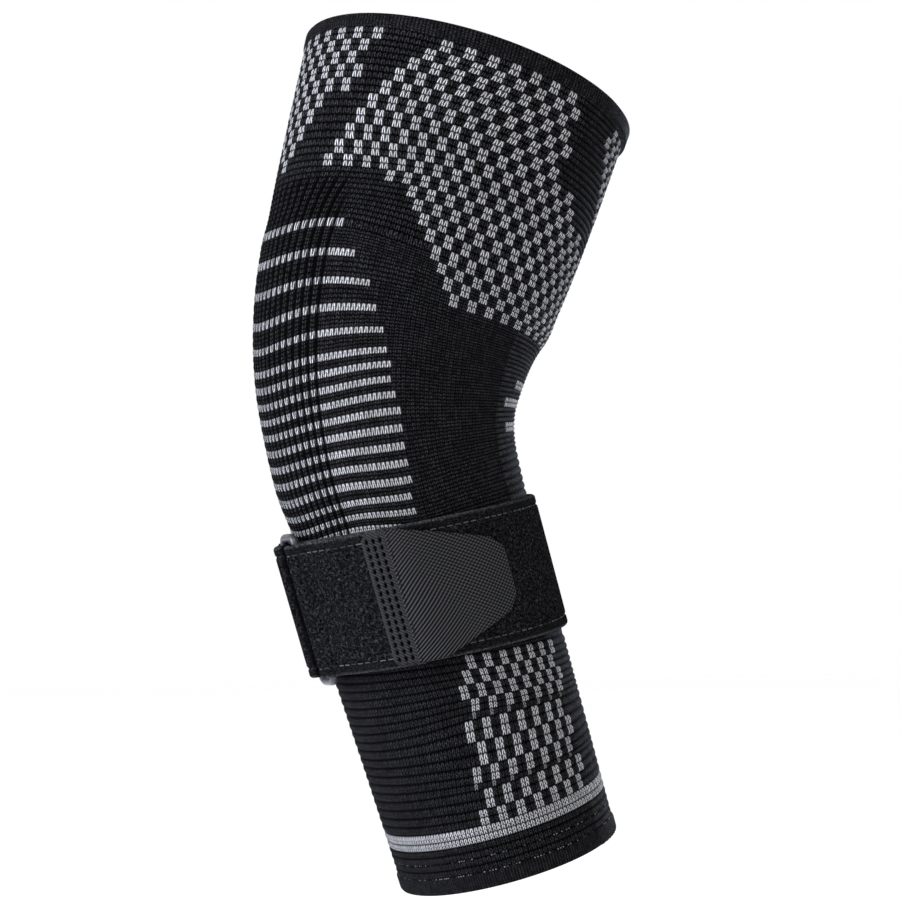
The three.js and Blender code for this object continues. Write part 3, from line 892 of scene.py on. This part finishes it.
    def light(self, ridge: np.ndarray, wale: np.ndarray) -> np.ndarray:
        """Which stitches are light: 1, 0 or PLAIN_LIGHT for each ridge and wale, both whole numbers.

        A checker of blocks two ridges tall and two wales wide fills three zones of the upper arm and one
        of the forearm. There two plain ridges lie between the blocks, with half-covered light stitches.
        Single light ridges run across the padded back, short dashes two ridges tall into the crook, and
        two light ridges run round above the hem.
        """
        plain = np.isin(ridge, self.PLAIN_RIDGES)
        extra = sum(1.0 * (ridge >= each) for each in self.PLAIN_RIDGES)
        block, block_pair = (ridge - extra) // 2, wale // 2
        block_ridge = 2.0 * block + 1.0 + extra
        turn = np.abs(self.turn(block_ridge, 2.0 * block_pair + 1.0))
        along = self.along(block_ridge, turn)
        checker = (block[:, None] + block_pair[None, :]) % 2 == 0
        upper = checker & self.upper_zones(turn, along, block_ridge)
        upper &= (ridge >= 0)[:, None] & (ridge < self.UPPER_CHECK_END)[:, None]
        low = checker & (turn > read(self.low_start, block_ridge)[:, None])
        low &= turn < read(self.low_end, block_ridge)[:, None]
        low &= ((ridge >= self.FIRST_LOW_RIDGE) & (ridge < self.LOW_CHECK_END))[:, None]
        low = low * np.where(plain[:, None], self.PLAIN_LIGHT * (wale % 2 == 0)[None, :], 1.0)
        band = np.isin(ridge, self.BAND_RIDGES)[:, None] & np.ones_like(upper)
        own_turn = np.abs(self.turn(ridge + 0.5, wale + 0.5))
        lines = np.zeros_like(upper)
        for stripe in self.stripes:
            lines |= (ridge == stripe.place)[:, None] & (own_turn < stripe.value)
        for dash in self.crook_dashes:
            lines |= ((ridge - dash.place) // 2 == 0)[:, None] & (own_turn > dash.value)
        return np.maximum((upper | band | lines).astype(float), low)

    def upper_zones(self, turn: np.ndarray, along: np.ndarray, ridge: np.ndarray) -> np.ndarray:
        """The upper arm's zones: triangles at back and front, and between them a broad field on the side
        that is drawn down towards the crook."""
        back = turn < read(self.back_end, ridge)[:, None]
        side = (turn > read(self.side_start, ridge)[:, None]) & (turn < read(self.side_end, along))
        return back | (side & (along > self.SIDE_BOTTOM)) | (turn > read(self.front_start, along))

    def ribs(self, ridge: np.ndarray, turn: np.ndarray) -> np.ndarray:
        """Share of upright ribs on the padded back, or as a negative share, of the crook's smooth ridges."""
        down = smooth(ridge, *self.RIBS_START) * (1 - smooth(ridge, *self.RIBS_END))
        crook = smooth(ridge, *self.CROOK_START)[:, None] * smooth(np.abs(turn), *self.CROOK_EDGE)
        return down[:, None] * (1 - smooth(np.abs(turn), *self.RIBS_EDGE)) - crook

    def stitch_row(self, ridge: np.ndarray) -> np.ndarray:
        """Stitch rows counted down: one for each ridge above the strap, two for each below it."""
        return ridge + np.maximum(ridge - self.FIRST_LOW_RIDGE, 0.0)


@dataclass
class Sleeve:
    """The knitted sleeve: a ridged outer face, round rims and a lining, as one closed body."""

    arm: Arm
    chart: Chart
    wall: float = 2.0
    rim_relief: float = 0.4
    rim_level: float = 0.4
    rim_end: float = 0.35
    rim_rounding: tuple = ((0.02, -0.35), (0.12, 0.1))
    hem_dip: float = 0.25
    hidden_dip: float = 0.15
    rib_depth: float = 0.35
    crook_boost: float = 1.6
    crook_fade: tuple = (100.0, 130.0)
    ridge_steps: tuple = (0.0, 0.18, 0.5, 0.82)
    ridge_roundness: float = 0.7
    ridge_heights: tuple = (
        At(0, 0.24), At(6, 0.28), At(25, 0.24), At(30, 0.16), At(60, 0.16), At(68, 0.2), At(84, 0.42),
        At(90, 0.5), At(105, 0.45), At(110, 0.4),
    )
    half_wales: int = 90
    half_fine_wales: int = 20
    lining_rows: int = 30
    lining_ridges: float = 80.0
    lining_row_rate: float = 1.5
    end_slack: float = 0.5
    end_draw: float = 0.15

    def outer_rows(self) -> tuple[np.ndarray, np.ndarray]:
        """Ridge places and lifts of the outer face from the top rim down.

        Over a ridge the lift is its height times (sin(pi * s) ** ridge_roundness - 1), with s from 0 to 1.
        The rims are level and rounded off, and the knit that the strap hides is a plain dip.
        """
        chart = self.chart

        def level(start: float, end: float, lift: float, count: int = 4) -> list[tuple[float, float]]:
            """Rows at one lift, evenly spaced."""
            return [(float(place), lift) for place in np.linspace(start, end, count)]

        rows = [(chart.TOP_RIM + below, lift) for below, lift in self.rim_rounding]
        rows += level(chart.TOP_RIM + self.rim_level, -self.rim_end, self.rim_relief)
        for ridge in (*range(0, chart.LAST_UPPER_RIDGE), *range(chart.FIRST_LOW_RIDGE, chart.HEM_TOP)):
            if ridge == chart.FIRST_LOW_RIDGE:
                rows += level(chart.LAST_UPPER_RIDGE, ridge, -self.hidden_dip, 9)[:-1]
            for step in self.ridge_steps:
                shape = max(math.sin(math.pi * step), 0.0) ** self.ridge_roundness - 1.0
                rows.append((ridge + step, float(read(self.ridge_heights, ridge)) * shape))
        rows += level(chart.HEM_TOP, chart.HEM_TOP, -self.hem_dip, 1)
        rows += level(chart.HEM_TOP + self.rim_end, chart.CUFF_RIM - self.rim_level, self.rim_relief)
        rows += [(chart.CUFF_RIM - above, lift) for above, lift in reversed(self.rim_rounding)]
        table = np.array(rows)
        return table[:, 0], table[:, 1]

    def wales(self) -> np.ndarray:
        """Wale places round the arm, twice as close over the ribs of the back."""
        half, fine = self.half_wales, self.half_fine_wales
        middle = np.arange(-fine, fine, 0.5)
        return np.concatenate([np.arange(-half, -fine), middle, np.arange(fine, half)]).astype(float)

    def lining(self, turn: np.ndarray) -> np.ndarray:
        """Points of the inner face from the cuff up, one wall inside the knit and drawn out at both ends."""
        low, high = -self.arm.forearm_length, self.arm.upper_length
        even = np.linspace(low + self.end_slack, high - self.end_slack, self.lining_rows)
        along = np.concatenate([[low + self.end_draw], even, [high - self.end_draw]])
        lift = np.full(len(along), -self.wall)
        lift[[0, -1]] += self.end_slack
        return self.arm.point(along[:, None], turn, lift[:, None])

    def build(self, material: bpy.types.Material) -> bpy.types.Object:
        chart, arm = self.chart, self.arm
        ridge, lift = self.outer_rows()
        wale = self.wales()
        turn = chart.turn(ridge, wale)
        along = chart.along(ridge, turn)
        ribs = chart.ribs(ridge, turn)
        beside_groove = np.abs((wale / 2 + 0.5) % 1.0 - 0.5) < 0.01
        above_strap = (ridge < chart.LAST_UPPER_RIDGE)[:, None]
        bolder = 1 + self.crook_boost * smooth(np.abs(turn), *self.crook_fade) * above_strap
        lifts = lift[:, None] * bolder + arm.pad(along, turn) - self.rib_depth * ribs * beside_groove[None, :]
        cloth = Cloth(np.concatenate([arm.point(along, turn, lifts), self.lining(turn[:1])]), Layout.RING)
        maps, marks = self.looks(ridge, wale, ribs)
        piece = cloth.build("knit_tube", material, maps, marks)
        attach(piece, "root")
        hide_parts("knit_sleeve")
        return piece

    def looks(self, ridge: np.ndarray, wale: np.ndarray, ribs: np.ndarray) -> tuple[dict, dict]:
        """The cloth's UV maps and marks. The lining carries the ridges and stitch rows on past the cuff.

        Args:
            ridge: Ridge place of each outer row.
            wale: Wale place of each column.
            ribs: Share of upright ribs, outer rows by columns.
        Returns:
            The maps `stitches` and `ridges`, and the mark `light`.
        """
        chart = self.chart
        count = len(ridge)
        all_wales = np.append(wale, float(self.half_wales))
        first = chart.CUFF_RIM + 1
        last = first + self.lining_ridges
        lining = np.append(np.linspace(first, last, self.lining_rows + 2), last + 1)
        all_ridges = np.concatenate([ridge, lining])
        rows = -np.concatenate([chart.stitch_row(ridge), lining * self.lining_row_rate])
        stitches = np.stack(np.meshgrid(rows, all_wales, indexing="ij")[::-1], -1)
        rib_map = np.zeros((len(all_ridges), len(all_wales)))
        rib_map[:count, :-1] = ribs
        ridges = np.stack([np.broadcast_to(all_ridges[:, None], rib_map.shape), rib_map], -1)
        middle = (all_ridges[:-1] + all_ridges[1:]) / 2
        mid_wale = np.floor((all_wales[:-1] + all_wales[1:]) / 2)
        light = np.zeros((len(middle), len(mid_wale)))
        light[: count - 1] = chart.light(np.floor(middle[: count - 1]), mid_wale)
        return {"stitches": stitches, "ridges": ridges}, {"light": light}


@dataclass
class Band:
    """The band of the strap round the forearm and the places of its layers."""

    arm: Arm
    width: float = 40.0
    thick: float = 2.2
    down: float = 59.0
    rise_at_back: float = 3.3
    layer_gap: float = 0.3
    sewn_end_length: float = 25.0
    fold_run_out: float = 7.0
    wire: float = 2.4
    ring_turn: float = 1.5
    fold_gap: float = 1.0
    tab_turn: float = 45.3
    tab_sewn_width: float = 8.0

    @property
    def inner_layer(self) -> float:
        """Lift of the middle of the layer on the knit."""
        return self.layer_gap + self.thick / 2

    @property
    def outer_layer(self) -> float:
        """Lift of the middle of the layer above it."""
        return self.inner_layer + self.thick + self.layer_gap

    @property
    def fold_radius(self) -> float:
        """Radius of the strap's middle round a bar of the ring."""
        return self.wire / 2 + self.layer_gap + self.thick / 2

    @property
    def bar_lift(self) -> float:
        """Lift of the ring's bars."""
        return self.inner_layer + self.fold_radius

    @property
    def bar_offset(self) -> float:
        """Half the distance between the ring's bars."""
        return self.fold_radius + self.thick / 2 + self.fold_gap / 2

    def point(self, turn: np.ndarray, across: np.ndarray, lift: np.ndarray) -> np.ndarray:
        """Points over the band: straight across its width from one edge of the knit below it to the
        other, raised by the knit's bulge between them, then by the lift."""
        turn, across, lift = np.broadcast_arrays(turn, across, lift)
        middle = -self.down + self.rise_at_back * np.cos(np.radians(turn))
        low, high = middle - self.width / 2, middle + self.width / 2

        def skin(along: np.ndarray) -> np.ndarray:
            """The knit's outer face."""
            return self.arm.point(along, turn, self.arm.pad(along, turn))

        low_point, high_point = skin(low), skin(high)
        outward = self.arm.point(middle, turn, 1.0) - self.arm.point(middle, turn, 0.0)
        bulge = np.zeros(turn.shape)
        for share in (0.25, 0.5, 0.75):
            between = low_point + (high_point - low_point) * share
            rise = np.einsum("...k,...k->...", skin(low + (high - low) * share) - between, outward)
            bulge = np.maximum(bulge, rise)
        flat = low_point + (high_point - low_point) * (0.5 + across / self.width)[..., None]
        return flat + outward * (lift + bulge)[..., None]

    def radius(self, turn: float) -> float:
        """Radius of the band at a turn, which changes lengths round the arm into angles."""
        cos_turn = math.cos(math.radians(turn))
        middle = np.array(-self.down + self.rise_at_back * cos_turn)
        back, front = (float(x) for x in self.arm.half_depths(middle))
        mean = (back + front) / 2
        depth = front + (back - front) * (0.5 + cos_turn / 2) if cos_turn > 0 else mean
        return depth + self.bar_lift

    def turned(self, turn: float, length: float) -> float:
        """The turn that lies a length further round the arm."""
        return turn + math.degrees(length / self.radius(turn))


@dataclass
class Strap:
    """Loop-pile strap: looped round the ring's back bar, round the arm, and back round its front bar."""

    band: Band
    step: float = 0.9
    edge_round: float = 0.9
    margin_end: float = 3.6
    pile_start: float = 4.2
    groove: float = 3.0
    groove_width: float = 0.35
    groove_depth: float = 0.35
    binding_height: float = 0.93
    pile_rise: float = 0.05
    rise_start: float = 3.2
    steep: tuple = (0.45, 0.9)

    def line(self) -> np.ndarray:
        """Middle line of the strap as rows of turn in degrees and lift.

        Straight runs keep a layer's lift, folds are half circles round the bars, and a smooth step
        leads from a fold to the outer layer.
        """
        band = self.band
        radius = band.radius(band.ring_turn)
        degrees = math.degrees(1 / radius)
        back_bar = band.ring_turn - band.bar_offset * degrees
        front_bar = band.ring_turn + band.bar_offset * degrees
        fold_top = band.bar_lift + band.fold_radius
        step = self.step * degrees

        def run(start: float, end: float, lift: float) -> np.ndarray:
            """A run at one lift, without its last point."""
            turns = np.linspace(start, end, max(2, int(abs(end - start) / step)))[:-1]
            return np.stack([turns, np.full(len(turns), lift)], -1)

        ease = np.linspace(0, 1, 9)
        down = band.outer_layer + (fold_top - band.outer_layer) * smooth(ease, 0, 1)
        angle = np.linspace(math.pi / 2, -math.pi / 2, 17)
        run_out = band.fold_run_out * degrees
        out, rise = band.fold_radius * degrees * np.cos(angle), band.fold_radius * np.sin(angle)
        back_fold = np.stack([back_bar + out, band.bar_lift + rise], -1)
        front_fold = np.stack([front_bar - out - 360, band.bar_lift - rise], -1)
        free_end = band.turned(band.tab_turn, band.tab_sewn_width)
        return np.concatenate([
            run(back_bar - band.sewn_end_length * degrees, back_bar - run_out, band.outer_layer),
            np.stack([back_bar - run_out * (1 - ease), down], -1)[:-1],
            back_fold,
            run(back_bar, front_bar - 360, band.inner_layer)[1:],
            front_fold,
            np.stack([front_bar - 360 + run_out * ease, down[::-1]], -1)[1:-1],
            run(front_bar + run_out - 360, free_end - 360, band.outer_layer),
            [[free_end - 360, band.outer_layer]],
        ])

    def section(self) -> tuple[np.ndarray, np.ndarray]:
        """Section of the strap, once round: distance across and share of the half thickness.

        The bound edges are half round, a fine groove holds the stitches beside them, and the pile
        between the two grooves is a little proud.
        """
        edge, rim = self.band.width / 2, self.edge_round
        margin = np.linspace(-edge + rim, -edge + self.margin_end, 8)
        pile = np.linspace(-edge + self.pile_start, edge - self.pile_start, 34)
        flat = np.concatenate([margin, pile, -margin[::-1]])
        from_groove = np.abs(flat) - (edge - self.groove)
        height = self.binding_height - self.groove_depth * np.exp(-((from_groove / self.groove_width) ** 2))
        height += self.pile_rise * smooth(edge - np.abs(flat), self.rise_start, self.pile_start)
        bend = np.radians([60.0, 30.0, 0.0, -30.0, -60.0])
        end_across, end_height = edge - rim + rim * np.cos(bend), rim * np.sin(bend)
        across = np.concatenate([flat, end_across, flat[::-1], -end_across])
        share = np.concatenate([height, end_height, -height[::-1], -end_height])
        return across, share

    def build(self, material: bpy.types.Material) -> bpy.types.Object:
        """Its section is carried square to the middle line. The map `folds` is 1 where the line is steep, and
        there the material paints shade on the strap.
        """
        band = self.band
        line = self.line()
        across, share = self.section()
        radius = band.radius(band.ring_turn)
        place = np.stack([np.radians(line[:, 0]) * radius, line[:, 1]], -1)
        before, after = np.roll(place, 1, 0), np.roll(place, -1, 0)
        before[0], after[-1] = place[0], place[-1]
        heading = after - before
        heading /= np.linalg.norm(heading, axis=1, keepdims=True)
        half = band.thick / 2 * share[None, :]
        x = place[:, :1] - half * heading[:, 1:]
        lift = place[:, 1:] + half * heading[:, :1]
        points = band.point(np.degrees(x / radius), np.broadcast_to(across, x.shape), lift)
        length = np.concatenate([[0], np.cumsum(np.linalg.norm(np.diff(place, axis=0), axis=1))])
        closed_across = np.append(across, across[0])
        uv = np.stack(np.meshgrid(length, closed_across, indexing="ij"), -1)
        facing = smooth(np.abs(heading[:, 1:]), *self.steep) * np.ones_like(closed_across)
        folds = np.stack([facing, facing], -1)
        piece = Cloth(points, Layout.BAR).build("strap_band", material, {"band": uv, "folds": folds})
        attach(piece, "root")
        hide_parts("strap")
        return piece


@dataclass
class Ring:
    """Wire ring: round wire along a rounded rectangle whose long bars lie in the strap's folds."""

    band: Band
    end_gap: float = 0.6
    corner: float = 2.0
    corner_steps: int = 10
    wire_sides: int = 20

    def build(self, material: bpy.types.Material) -> bpy.types.Object:
        """Builds the ring: circles of wire set across the rectangle's outline."""
        band = self.band
        bar = math.degrees(band.bar_offset / band.radius(band.ring_turn))
        edge = band.width / 2
        sides = np.array([[-1, -1], [1, 1]])
        ends = band.point(band.ring_turn + sides * bar, sides.T * edge, np.array(band.bar_lift))
        centre = ends.reshape(-1, 3).mean(0)
        along = ends[0, 1] - ends[0, 0] + ends[1, 1] - ends[1, 0]
        along /= np.linalg.norm(along)
        across = ends[1].sum(0) - ends[0].sum(0)
        half_across = np.linalg.norm(across) / 4
        across -= along * (across @ along)
        across /= np.linalg.norm(across)
        up = np.cross(along, across)
        half_along = edge + self.end_gap + band.wire / 2
        corner = min(self.corner, half_across)
        signs = np.repeat([[1, 1], [-1, 1], [-1, -1], [1, -1]], self.corner_steps + 1, 0)
        quarter = np.repeat(np.arange(4), self.corner_steps + 1)
        angle = math.pi / 2 * (quarter + np.tile(np.linspace(0, 1, self.corner_steps + 1), 4))
        x = signs[:, 0] * (half_along - corner) + corner * np.cos(angle)
        y = signs[:, 1] * (half_across - corner) + corner * np.sin(angle)
        path = centre + x[:, None] * along + y[:, None] * across
        outward = np.cos(angle)[:, None] * along + np.sin(angle)[:, None] * across
        around = np.linspace(0, 2 * math.pi, self.wire_sides, endpoint=False)
        cos_around, sin_around = np.cos(around)[None, :, None], np.sin(around)[None, :, None]
        wire = band.wire / 2 * (cos_around * outward[:, None] + sin_around * up)
        piece = Cloth(path[:, None] + wire, Layout.RING).build("wire_ring", material)
        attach(piece, "root")
        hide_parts("ring_buckle")
        return piece


@dataclass
class HookTab:
    """Hook tab: a thin sheet sewn over the strap's free end, embossed with slanted lines."""

    band: Band
    length: float = 40.5
    thick: float = 1.2
    step_down: float = 18.0
    strip_end: tuple = (6.6, 7.2)
    strip_ridge: float = 6.7
    ridge_width: float = 0.22
    ridge_height: float = 0.12
    hole_columns: tuple = (1.6, 3.5, 5.4)
    hole_pitch: float = 2.16
    hole_rows: int = 18
    hole_depth: float = 0.6
    hole_radii: tuple = (0.40, 0.72)
    hole_squeeze: tuple = (1.3, 0.72)
    hole_margin: float = 0.6
    edge_round: float = 0.35
    edge_width: float = 0.5
    top_points: int = 171
    bottom_step: int = 17
    upper_edge: tuple = (
        At(0.0, 17.6), At(1.2, 19.2), At(3.0, 19.8), At(9.1, 19.8), At(36.5, 11.6), At(40.1, 8.2),
        At(40.5, 7.0),
    )
    lower_edge: tuple = (
        At(0.0, -17.6), At(0.8, -18.7), At(2.1, -19.3), At(15.3, -18.9), At(37.0, -10.2), At(39.7, -7.2),
        At(40.5, -5.6),
    )

    def emboss(self, x: np.ndarray, y: np.ndarray) -> tuple[np.ndarray, np.ndarray, np.ndarray]:
        """Depth of the stitch holes, painted shade in them, and share of the sewn strip.

        Holes are upright dips in rows, and a low ridge ends the strip.
        """
        sewn = 1 - smooth(x, *self.strip_end)
        rows = (y / self.hole_pitch + 0.5) % 1.0 - 0.5
        hole = np.zeros_like(x)
        for column in self.hole_columns:
            squeeze_x, squeeze_y = self.hole_squeeze
            distance = np.hypot((x - column) * squeeze_x, rows * self.hole_pitch * squeeze_y)
            hole = np.maximum(hole, 1 - smooth(distance, *self.hole_radii))
        hole *= np.abs(y) < self.hole_pitch * self.hole_rows / 2 - self.hole_margin
        ridge = np.exp(-(((x - self.strip_ridge) / self.ridge_width) ** 2))
        return self.hole_depth * hole + self.ridge_height * ridge, hole, sewn * (1 - hole)

    def build(self, material: bpy.types.Material) -> bpy.types.Object:
        """Builds the tab: its top over a grid of along and across, its rounded edge and its underside."""
        band = self.band
        sewn_width = band.tab_sewn_width
        x = np.concatenate([np.linspace(0, sewn_width, 41), np.linspace(sewn_width, self.length, 131)[1:]])
        lower, upper = read(self.lower_edge, x)[:, None], read(self.upper_edge, x)[:, None]
        y = lower + (upper - lower) * np.linspace(0, 1, self.top_points)[None, :]
        depth, hole, sewn = self.emboss(np.broadcast_to(x[:, None], y.shape), y)
        from_side = np.minimum(y - lower, upper - y)
        from_edge = np.minimum(from_side, np.minimum(x, self.length - x)[:, None])
        round_edge = self.edge_round * (1 - smooth(from_edge, 0.0, self.edge_width))
        turn = band.tab_turn + np.degrees(x / band.radius(band.tab_turn))
        on_end = band.outer_layer + band.thick / 2 + band.layer_gap
        on_inner = band.inner_layer + band.thick / 2 + band.layer_gap
        down = smooth(x, sewn_width + band.layer_gap * 2, sewn_width + self.step_down)
        under = (on_end + (on_inner - on_end) * down)[:, None]
        top = band.point(turn[:, None], y, under + self.thick - depth - round_edge)
        few = y[:, ::-1][:, :: self.bottom_step]
        bottom = band.point(turn[:, None], few, np.broadcast_to(under, few.shape))
        all_y = np.concatenate([y, few, y[:, :1]], 1)
        places = np.stack([np.broadcast_to(x[:, None], all_y.shape), all_y], -1)
        plain = np.zeros((len(x), few.shape[1] + 1, 2))
        looks = np.concatenate([np.stack([hole, sewn], -1), plain], 1)
        maps = {"tab": places, "emboss": looks}
        maps = {name: np.concatenate([grid[:1], grid, grid[-1:]]) for name, grid in maps.items()}
        tube = self.close_ends(np.concatenate([top, bottom], 1))
        piece = Cloth(tube, Layout.TUBE).build("tab_plate", material, maps)
        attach(piece, "root")
        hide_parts("hook_tab")
        return piece

    def close_ends(self, points: np.ndarray) -> np.ndarray:
        """Closes both ends of the tube by drawing a last loop to the middle line of the end.

        Args:
            points: The tube's rows, each once round over the top and back along the underside.
        Returns:
            The same rows with one more before them and one more after them.
        """
        share = np.linspace(0, 1, self.top_points)
        loops = []
        for loop in (points[0], points[-1]):
            top, bottom = np.split(loop, [self.top_points])
            even = np.linspace(0, 1, len(bottom))
            under = np.stack([np.interp(1 - share, even, bottom[:, k]) for k in range(3)], -1)
            middle = (top + under) / 2
            back = np.stack([np.interp(1 - even, share, middle[:, k]) for k in range(3)], -1)
            loops.append(np.concatenate([middle, back])[None])
        return np.concatenate([loops[0], points, loops[1]])


@dataclass
class Studio:
    """White studio: camera at the photo's view, soft lights and a pale floor below the view."""

    target: tuple = (19.6, 0.0, -17.9)
    azimuth: float = 24.0
    distance: float = 750.0
    drop: float = 50.0
    lens: float = 100.0
    floor_z: float = -300.0
    floor_side: float = 8.0
    aim: tuple = (0.02, 0.0, -0.02)
    lamps: tuple = (
        {"name": "key", "place": (-0.55, -0.95, 0.75), "size": 0.5, "power": 14.0, "colour": (1.0, 1.0, 1.0)},
        {"name": "fill", "place": (0.9, -0.9, 0.1), "size": 0.7, "power": 5.0, "colour": (1.0, 1.0, 1.0)},
        {"name": "rim", "place": (0.8, 0.55, 0.25), "size": 0.5, "power": 14.0, "colour": (0.75, 0.82, 1.0)},
        {"name": "side", "place": (-0.95, 0.1, 0.1), "size": 0.5, "power": 26.0, "colour": (0.84, 0.88, 1.0)},
    )

    def camera(self) -> None:
        """Camera at its distance from the target, turned by its azimuth and dropped below the target."""
        turn = math.radians(self.azimuth)
        pitch = math.atan2(self.drop, math.sqrt(self.distance**2 - self.drop**2))
        look = Vector((math.sin(turn) * math.cos(pitch), math.cos(turn) * math.cos(pitch), math.sin(pitch)))
        data = bpy.data.cameras.new("camera")
        data.lens, data.sensor_width = self.lens, 36.0
        data.clip_start, data.clip_end = 0.05, 60.0
        view = bpy.data.objects.new("camera", data)
        view.location = (Vector(self.target) - look * self.distance) * MM
        view.rotation_mode = "QUATERNION"
        view.rotation_quaternion = look.to_track_quat("-Z", "Y")
        bpy.context.scene.collection.objects.link(view)
        bpy.context.scene.camera = view

    def light(self, name: str, place: tuple, size: float, power: float, colour: tuple) -> None:
        """One square area light, in metres and watts, aimed at the brace."""
        data = bpy.data.lights.new(name, "AREA")
        data.size, data.energy, data.color = size, power, colour
        lamp = bpy.data.objects.new(name, data)
        lamp.location = place
        lamp.rotation_mode = "QUATERNION"
        lamp.rotation_quaternion = (Vector(self.aim) - Vector(place)).to_track_quat("-Z", "Y")
        bpy.context.scene.collection.objects.link(lamp)

    def build(self) -> None:
        """Sets the camera, the world, the lights and the floor."""
        self.camera()
        bpy.context.scene.view_settings.view_transform = "Standard"
        world = bpy.data.worlds.new("studio")
        world.use_nodes = True
        sky = world.node_tree.nodes["Background"]
        sky.inputs["Color"].default_value = (1.0, 1.0, 1.0, 1.0)
        sky.inputs["Strength"].default_value = 1.0
        bpy.context.scene.world = world
        for lamp in self.lamps:
            self.light(**lamp)
        paint = Paint("studio_floor")
        where = paint.node("ShaderNodeTexCoord", {}, {}).outputs["Object"]
        colour = paint.shade((1.0, 1.0, 1.0, 1.0), paint.cloud(where, 2.0).between(0.985, 1.0))
        paint.coat(Base_Color=colour, Roughness=0.9)
        mesh = bpy.data.meshes.new("studio_floor")
        side, z = self.floor_side, self.floor_z * MM
        corners = [(-side, -side, z), (side, -side, z), (side, side, z), (-side, side, z)]
        mesh.from_pydata(corners, [], [(0, 1, 2, 3)])
        mesh.materials.append(paint.material)
        floor = bpy.data.objects.new("studio_floor", mesh)
        bpy.context.scene.collection.objects.link(floor)


def main() -> None:
    """Builds the studio and the brace's pieces in order."""
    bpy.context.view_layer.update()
    Studio().build()
    arm = Arm()
    band = Band(arm)
    made = [
        Sleeve(arm, Chart()).build(KnitFinish().make()),
        Strap(band).build(PileFinish().make()),
        Ring(band).build(LacquerFinish().make()),
        HookTab(band).build(TabFinish().make()),
    ]
    for piece in made:
        log.info("%s rides on root", piece.name)


if __name__ == "__main__":
    main()
